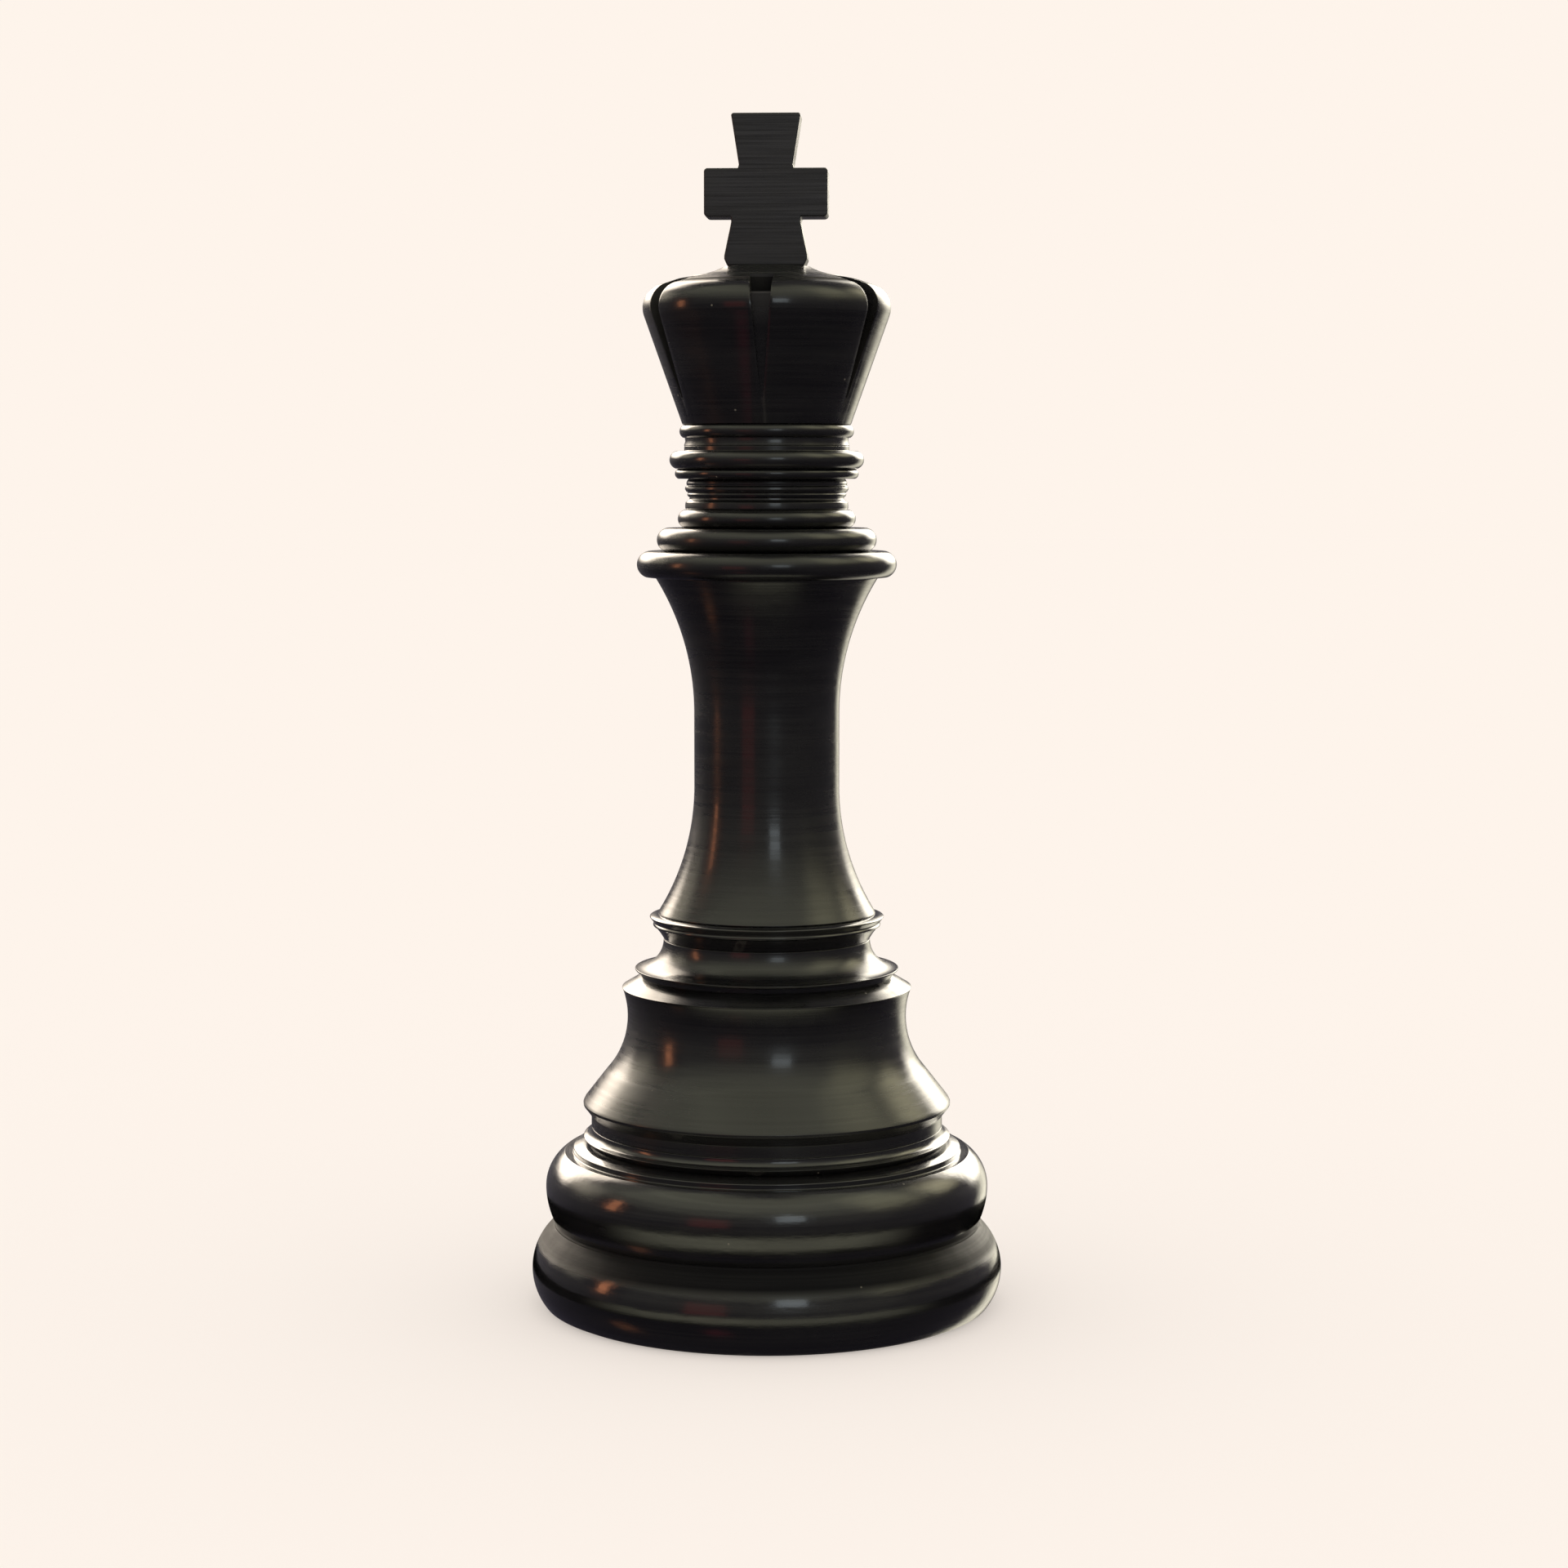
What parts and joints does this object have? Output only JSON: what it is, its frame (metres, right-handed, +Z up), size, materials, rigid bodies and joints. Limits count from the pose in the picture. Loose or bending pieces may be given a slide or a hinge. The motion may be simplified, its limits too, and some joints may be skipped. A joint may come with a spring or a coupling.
{
  "type": "giant chess piece",
  "caption": "Tall free-standing chess king for lawn games: round stepped base, bell, hourglass stem, stacked collars, notched crown and a flat lift-out cross.",
  "frame": {"origin": "on the floor, under the centre of the base", "axes": "+Z up along the turning axis, the flat face of the cross and one crown notch face -Y"},
  "size_m": [0.1524, 0.1524, 0.381],
  "materials": {
    "foot_pad": "moulded black rubber",
    "base_cover": "textured black plastic",
    "cover_gasket": "black rubber sheet",
    "cover_screws": "stainless steel",
    "base_plug": "black plastic",
    "plug_seal": "black rubber",
    "ballast_ring": "sand-cast grey iron",
    "base_plinth": "gloss black with fine turning lines",
    "base_torus": "gloss black with fine turning lines",
    "step_disc": "gloss black with fine turning lines",
    "bell_body": "gloss black with fine turning lines",
    "shoulder_disc": "gloss black with fine turning lines",
    "waist_collar": "gloss black with fine turning lines",
    "waist_sleeve": "plain drawn tube",
    "stem": "gloss black with fine turning lines",
    "collar_large": "gloss black with fine turning lines",
    "collar_medium": "gloss black with fine turning lines",
    "collar_small": "gloss black with fine turning lines",
    "neck_spool": "gloss black with fine turning lines",
    "neck_ring_thin": "gloss black with fine turning lines",
    "neck_ring_wide": "gloss black with fine turning lines",
    "crown_bead": "gloss black with fine turning lines",
    "neck_sleeve": "plain drawn tube",
    "crown": "gloss black with fine turning lines",
    "crown_cap": "gloss black with fine turning lines",
    "cross_finial": "satin black with fine level lines",
    "tie_rod": "zinc-plated threaded rod",
    "bottom_washer": "zinc plated",
    "spring_washer": "zinc plated",
    "bottom_nut": "zinc plated",
    "top_washer": "zinc plated",
    "top_nut": "zinc plated"
  },
  "bodies": {
    "king": {"foot_pad": "foot_pad", "base_cover": "base_cover", "cover_gasket": "cover_gasket", "cover_screws": "cover_screws", "ballast_ring": "ballast_ring", "base_plinth": "base_plinth", "base_torus": "base_torus", "step_disc": "step_disc", "bell_body": "bell_body", "shoulder_disc": "shoulder_disc", "waist_collar": "waist_collar", "waist_sleeve": "waist_sleeve", "stem": "stem", "collar_large": "collar_large", "collar_medium": "collar_medium", "collar_small": "collar_small", "neck_spool": "neck_spool", "neck_ring_thin": "neck_ring_thin", "neck_ring_wide": "neck_ring_wide", "crown_bead": "crown_bead", "neck_sleeve": "neck_sleeve", "crown": "crown", "crown_cap": "crown_cap", "tie_rod": "tie_rod", "bottom_washer": "bottom_washer", "spring_washer": "spring_washer", "bottom_nut": "bottom_nut", "top_washer": "top_washer", "top_nut": "top_nut"},
    "cross": {"cross_finial": "cross_finial"},
    "seal": {"plug_seal": "plug_seal"},
    "plug": {"base_plug": "base_plug"}
  },
  "joints": [
    {"name": "cross_lift", "type": "slide", "parent": "king", "child": "cross", "axis": [0, 0, 1], "range_m": [0, 0.024]},
    {"name": "plug_travel", "type": "slide", "parent": "king", "child": "seal", "axis": [0, 0, -1], "range_m": [0, 0.009]},
    {"name": "plug_turn", "type": "hinge", "parent": "seal", "child": "plug", "pos_m": [0, 0, 0], "axis": [0, 0, -1], "range_deg": [0, 1080]}
  ],
  "couplings": [
    {"joint": "plug_turn", "follows": "plug_travel", "rad_per_m": 2094.4}
  ]
}
